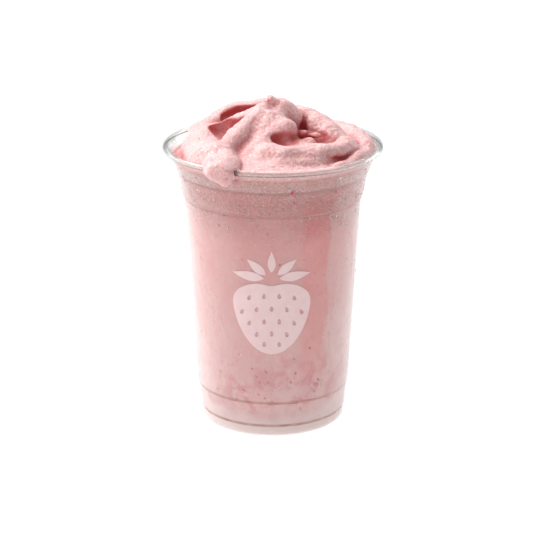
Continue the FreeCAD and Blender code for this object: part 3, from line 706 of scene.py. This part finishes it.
def scatter_drops():
    rng = np.random.default_rng(41)
    turn, high, size = [], [], []
    clump = Lattice(21, 24)
    # fine mist beads, thickest under the lip and to the right of the front
    for _ in range(60):
        t = rng.uniform(0, 2 * np.pi, 4000)
        z = rng.uniform(18.0, 117.0, 4000)
        front = 0.5 + 0.5 * np.cos(t - math.radians(300))
        band = np.clip((z - 86) / 12, 0, 1)
        want = band * (0.22 + 0.78 * front ** 2) + 0.045 + 0.10 * np.clip((z - 40) / 50, 0, 1) * front ** 4
        P = np.stack([40 * np.cos(t), 40 * np.sin(t), z], 1)
        want = want * np.clip(0.75 + 0.8 * clump(P, 7.0), 0.1, 1.6)
        keep = rng.uniform(0, 1, 4000) < want * 0.5
        turn += list(t[keep]); high += list(z[keep])
        if len(turn) > 5200:
            break
    turn, high = np.array(turn[:5200]), np.array(high[:5200])
    # a few grown drops in the clearer patch
    extra = 20
    turn = np.append(turn, np.radians(rng.normal(300, 13, extra)))
    high = np.append(high, 62 + 40 * rng.uniform(0, 1, extra) ** 0.6)
    ledge = np.min(np.abs(high[:, None] - np.array([5.3, 16.3, 101.3, 112.3])[None]), 1)
    size = 0.13 + 0.17 * rng.uniform(0, 1, len(turn)) ** 2.2
    big = rng.uniform(0, 1, len(turn)) < 0.012
    size = np.where(big, rng.uniform(0.38, 0.75, len(turn)), size)
    size[-extra:] = 0.28 + 0.4 * rng.uniform(0, 1, extra) ** 2
    keep = ledge > 0.35 + size
    turn, high, size = turn[keep], high[keep], size[keep]
    # off the print, and away from the lobe
    deg = np.degrees(turn) % 360
    inked = (deg > 241) & (deg < 298) & (high > 39) & (high < 86)
    keep = ~inked | (rng.uniform(0, 1, len(turn)) < 0.06)
    turn, high, size = turn[keep], high[keep], size[keep]
    d = np.abs((np.degrees(turn) - LOBE_TURN + 180) % 360 - 180)
    keep = ~((d < 15) & (high > 107))
    return turn[keep], high[keep], size[keep]


t_, z_, s_ = scatter_drops()
grown = s_ > 0.27
va, fa = domes(t_[~grown], z_[~grown], s_[~grown], np.full((~grown).sum(), 0.65), 5, [(1.0, 0.0), (0.72, 0.7)])
vb, fb = domes(t_[grown], z_[grown], s_[grown], np.full(grown.sum(), 0.5), 10, [(1.0, 0.0), (0.86, 0.5), (0.5, 0.87)])
drops = add_mesh("droplets", np.concatenate([va, vb]), np.concatenate([fa, fb + len(va)]))
print("droplets", len(t_), len(drops.data.polygons))


def lumps_mesh(name, centre, axes_, seed, sub=1):
    """Many small uneven closed lumps in one mesh: centre (n,3), axes_ (n,3,3) rows already scaled."""
    import bmesh
    bm = bmesh.new()
    bmesh.ops.create_icosphere(bm, subdivisions=sub + 1, radius=1.0)
    V0 = np.array([v.co[:] for v in bm.verts])
    F0 = np.array([[v.index for v in f.verts] for f in bm.faces])
    bm.free()
    rng = np.random.default_rng(seed)
    n = len(centre)
    L = Lattice(seed + 1)
    off = rng.uniform(0, 300, (n, 1, 3))
    wob = 1 + 0.38 * L(V0[None] + off, 0.9)
    V = V0[None] * wob[..., None]
    W = np.einsum("nij,njk->nik", V, axes_) + centre[:, None]
    Fc = (F0[None] + (np.arange(n) * len(V0))[:, None, None]).reshape(-1, 3)
    return add_mesh(name, W.reshape(-1, 3), Fc)


def frame_at(turn, high):
    ct, st = np.cos(turn), np.sin(turn)
    return (np.stack([ct, st, 0 * ct], 1), np.stack([-st, ct, 0 * ct], 1), np.stack([0 * ct, 0 * ct, 1 + 0 * ct], 1))


# berry bits pressed against the inside of the wall; a few stated ones at the front, the rest strewn
BITS = [(281.5, 113.3, 0.75), (282.6, 108.0, 0.45), (310.6, 110.6, 0.4), (315.9, 98.1, 0.35), (227.6, 28.1, 0.42), (227.5, 25.3, 0.4),
        (239.4, 32.6, 0.3), (255.0, 32.1, 0.34), (265.5, 30.9, 0.3), (286.5, 29.9, 0.42), (283.2, 25.9, 0.33), (281.1, 22.5, 0.3),
        (248.3, 21.5, 0.34), (260.6, 26.1, 0.4), (266.5, 26.0, 0.45), (303.8, 22.8, 0.8), (305.4, 25.1, 0.45), (264.0, 18.6, 0.33),
        (273.8, 18.2, 0.3), (250.0, 7.3, 0.4), (269.8, 7.3, 0.36), (233.5, 95.4, 0.4), (297.1, 40.9, 0.3)]
rng = np.random.default_rng(9)
many = 150
bt = np.radians(np.concatenate([[b[0] for b in BITS], rng.uniform(0, 360, many)]))
bz = np.concatenate([[b[1] for b in BITS], 6 + 104 * rng.uniform(0, 1, many) ** 1.7])
bs = np.concatenate([[b[2] for b in BITS], 0.12 + 0.3 * rng.uniform(0, 1, many) ** 3])
o_, s2_, u_ = frame_at(bt, bz)
br = wall_out(bz) - WALL / 2 + 0.1
cen = o_ * br[:, None]
cen[:, 2] = bz
spin = rng.uniform(0, np.pi, len(bt))
e1 = s2_ * np.cos(spin)[:, None] + u_ * np.sin(spin)[:, None]
e2 = -s2_ * np.sin(spin)[:, None] + u_ * np.cos(spin)[:, None]
long_ = rng.uniform(0.9, 1.7, len(bt))
bs = bs * 1.5
AXES = np.stack([e1 * (bs * long_)[:, None], e2 * (bs / long_ ** 0.5)[:, None], o_ * np.minimum(0.17, bs * 0.6)[:, None]], 1)
bits = lumps_mesh("berry_bits", cen, AXES, 5)


def drop_on(turn_deg, out):
    """Height of the mound's top surface above a point, and its normal."""
    t = math.radians(turn_deg)
    z = np.arange(147.0, 115.0, -0.05)
    P = np.stack([np.full_like(z, out * math.cos(t)), np.full_like(z, out * math.sin(t)), z], 1)
    v = sample(F, P)
    i = int(np.argmax(v < 0))
    return P[i], gradient(F, P[i:i + 1])[0]


SEEDS = [(206.0, 34.6, 0.5), (294.5, 15.0, 0.42), (180, 0.9, 0.45), (232, 29.0, 0.3), (285, 36.0, 0.3), (18, 35.0, 0.5), (95, 30.0, 0.5), (140, 20.0, 0.42)]
sc_, sa_ = [], []
rs = np.random.default_rng(4)
for t, out, size in SEEDS:
    q, nn = drop_on(t, out)
    a = np.cross(nn, rs.normal(size=3)); a /= np.linalg.norm(a)
    b = np.cross(nn, a)
    sc_.append(q + nn * 0.05)
    sa_.append(np.stack([a * size, b * size * 0.66, nn * size * 0.42], 0))
seeds = lumps_mesh("seeds", np.array(sc_), np.array(sa_), 15, 2)


# ------------------------------------------------------------------ the print: a plain berry with leaves, in pale ink
def closed(fn, n):
    return np.array([fn(2 * math.pi * i / n) for i in range(n)])


def berry_outline(t):
    """Heart-like body, wide at the shoulders and narrowing to a rounded tip, 34 wide and 33 tall."""
    a = t - math.pi / 2
    w = 17.0 * math.cos(a)
    up = math.sin(a)
    if up > 0:
        z = 10.5 * up ** 0.75 * (1 - 0.16 * math.exp(-(w / 4.6) ** 2))
    else:
        z = -22.5 * (-up) ** 1.12
        w *= 1 - 0.10 * (-up)
    return (w, z)


def leaf(turn, length, width):
    """One pointed leaf that starts at the stalk."""
    pts_ = []
    n = 14
    for i in range(n + 1):
        u = i / n
        pts_.append((u * length, width * math.sin(math.pi * u ** 0.85) * (1 - 0.25 * u)))
    for i in range(n - 1, 0, -1):
        u = i / n
        pts_.append((u * length, -width * math.sin(math.pi * u ** 0.85) * (1 - 0.25 * u)))
    c, s = math.cos(turn), math.sin(turn)
    return np.array([(x * c - y * s, x * s + y * c) for x, y in pts_])


def pip(cx, cz, size, lean):
    def f(t):
        x, y = 0.62 * math.cos(t) * (1 - 0.3 * math.sin(t)), math.sin(t)
        c, s = math.cos(lean), math.sin(lean)
        return (cx + size * (x * c - y * s), cz + size * (x * s + y * c))
    return closed(f, 12)


def inside(loops, P):
    """Even-odd rule over closed loops."""
    odd = np.zeros(len(P), bool)
    for L in loops:
        x0, y0 = L[:, 0], L[:, 1]
        x1, y1 = np.roll(x0, -1), np.roll(y0, -1)
        for a, b, c, d in zip(x0, y0, x1, y1):
            hit = ((b > P[:, 1]) != (d > P[:, 1]))
            if hit.any():
                xs = a + (P[:, 1] - b) * (c - a) / (d - b + 1e-12)
                odd ^= hit & (P[:, 0] < xs)
    return odd


def build_print():
    loops = [closed(berry_outline, 120)]
    for row, (zc, count) in enumerate(((4.2, 4), (-1.6, 5), (-7.4, 4), (-13.0, 3), (-17.8, 2))):
        for i in range(count):
            x = (i - (count - 1) / 2) * 6.4
            loops.append(pip(x, zc - 0.012 * x * x, 1.25, 0.035 * x))
    leaves = [leaf(math.radians(a), l, w) + np.array([0.0, 11.6]) for a, l, w in
              ((8, 14.0, 2.3), (40, 10.5, 2.1), (90, 9.4, 1.9), (140, 10.5, 2.1), (172, 14.0, 2.3))]
    # leaves start a little away from the stalk point so that no two cross
    out = []
    for L, a in zip(leaves, (8, 40, 90, 140, 172)):
        c, s = math.cos(math.radians(a)), math.sin(math.radians(a))
        out.append(L + np.array([c, s]) * 3.3)
    loops += out
    verts, edges = [], []
    for L in loops:
        o = len(verts)
        verts += [Vector((float(a), float(b))) for a, b in L]
        edges += [(o + i, o + (i + 1) % len(L)) for i in range(len(L))]
    gx, gz = np.meshgrid(np.arange(-18, 18.1, 1.5), np.arange(-25, 27, 1.5))
    P = np.stack([gx.ravel(), gz.ravel()], 1)
    edge_pts = np.concatenate(loops)
    far = np.array([np.min(np.hypot(*(edge_pts - q).T)) > 0.7 for q in P])
    P = P[far & inside(loops, P)]
    verts += [Vector((float(a), float(b))) for a, b in P]
    v, e, f, _, _, _ = delaunay_2d_cdt(verts, edges, [], 0, 1e-4)
    v = np.array([tuple(q) for q in v])
    f = np.array([list(t) for t in f])
    mid = v[f].mean(1)
    f = f[inside(loops, mid)]
    used = np.unique(f)
    back_ = -np.ones(len(v), int)
    back_[used] = np.arange(len(used))
    v, f = v[used], back_[f]
    a = v[f[:, 1]] - v[f[:, 0]]
    b = v[f[:, 2]] - v[f[:, 0]]
    flip = (a[:, 0] * b[:, 1] - a[:, 1] * b[:, 0]) < 0
    f[flip] = f[flip][:, ::-1]
    centre = 62.0
    zc = centre + v[:, 1]
    turn = math.radians(269.2) + v[:, 0] / wall_out(zc)
    n = len(v)
    layers = []
    for lift in (0.075, 0.015):
        rr = wall_out(zc) + lift
        layers.append(np.stack([rr * np.cos(turn), rr * np.sin(turn), zc], 1))
    V = np.concatenate(layers)
    half = set()
    for t in f:
        for i in range(3):
            half.add((int(t[i]), int(t[(i + 1) % 3])))
    rim = [(a, b) for a, b in half if (b, a) not in half]
    rim.sort()
    F2 = [tuple(t) for t in f] + [tuple(int(q) + n for q in t[::-1]) for t in f]
    for a, b in rim:
        F2 += [(b, a, a + n), (b, a + n, b + n)]
    ob = add_mesh("print", V, np.array(F2))
    # flat-shaded: the ink film has crisp edges
    ob.data.polygons.foreach_set("use_smooth", np.zeros(len(F2), bool))
    return ob


decal = build_print()
decal.visible_shadow = False
print("print", len(decal.data.polygons))

for ob, mat, slot in ((drops, water_material(), "water"), (bits, berry_material(), "berry"),
                      (seeds, seed_material(), "seed"), (decal, print_material(), "print")):
    ob.data.materials.append(mat)
    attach(ob, "root")

mound.data.materials.append(mound_material())
fill.data.materials.append(fill_material())
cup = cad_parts["cup"]
cup.data.materials.clear()
cup.data.materials.append(cup_material())
for ob in (mound, fill):
    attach(ob, "root")
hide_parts("milkshake")
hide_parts("milkshake")

# ------------------------------------------------------------------ floor, light, camera
def plain(name, color, glow, rough=0.9):
    M = Mat(name)
    n = M.noise(M.pos(), 40.0, 2.0)
    c = M.mix(M.ramp(n, 0.3, 0.7, 0.0, 0.03), color, (0.9, 0.9, 0.9, 1))
    sh = M.principled(Base_Color=c, Roughness=rough)
    sh.inputs["Emission Color"].default_value = (1, 1, 1, 1)
    sh.inputs["Emission Strength"].default_value = glow
    return M.finish(sh.outputs[0])


floor = add_mesh("floor", [(-4000, -4000, 0), (4000, -4000, 0), (4000, 4000, 0), (-4000, 4000, 0)], [(0, 1, 2, 3)], False)
floor.location.z = -0.00005
floor.data.materials.append(plain("floor_white", (0.14, 0.14, 0.14, 1), 0.93))

world = bpy.data.worlds.new("studio")
scene.world = world
world.use_nodes = True
bg = world.node_tree.nodes["Background"]
bg.inputs["Color"].default_value = (1.0, 1.0, 1.0, 1)
bg.inputs["Strength"].default_value = 0.3
# enough see-through layers for the rolled lip in front of the lip behind
scene.cycles.transparent_max_bounces = 48


def area(name, loc, aim, w, h, power, color=(1, 1, 1)):
    li = bpy.data.lights.new(name, "AREA")
    li.shape = "RECTANGLE"
    li.size, li.size_y = w, h
    li.energy = power
    li.color = color
    ob = bpy.data.objects.new(name, li)
    ob.location = loc
    ob.rotation_euler = (Vector(aim) - Vector(loc)).to_track_quat("-Z", "Y").to_euler()
    scene.collection.objects.link(ob)
    return ob


area("key_left", (-0.52, 0.17, 0.76), (0, 0, 0.12), 0.6, 0.6, 9.2, (1.0, 0.995, 0.99))
area("top_back", (0.1, 0.5, 0.7), (0, 0, 0.12), 0.5, 0.4, 2.2)
area("side_left", (-0.55, 0.22, 0.12), (0, 0, 0.06), 0.45, 0.5, 0.9)
area("side_right", (0.46, 0.3, 0.12), (0, 0, 0.06), 0.34, 0.5, 1.0)
area("front_fill", (-0.7, -0.9, 0.55), (0, 0, 0.06), 0.6, 0.6, 1.3, (1.0, 0.99, 0.98))

cam_data = bpy.data.cameras.new("camera")
cam_data.sensor_width = 36.0
cam_data.lens = 2026.0 / 550.0 * 36.0
cam_data.shift_x = 2.2 / 550.0
cam_data.clip_start = 0.01
cam = bpy.data.objects.new("camera", cam_data)
eye, aim = Vector((0, -0.843041, 0.345381)), Vector((0, 0, 0.063467))
cam.location = eye
cam.rotation_euler = (aim - eye).to_track_quat("-Z", "Y").to_euler()
scene.collection.objects.link(cam)
scene.camera = cam
scene.view_settings.view_transform = "Standard"
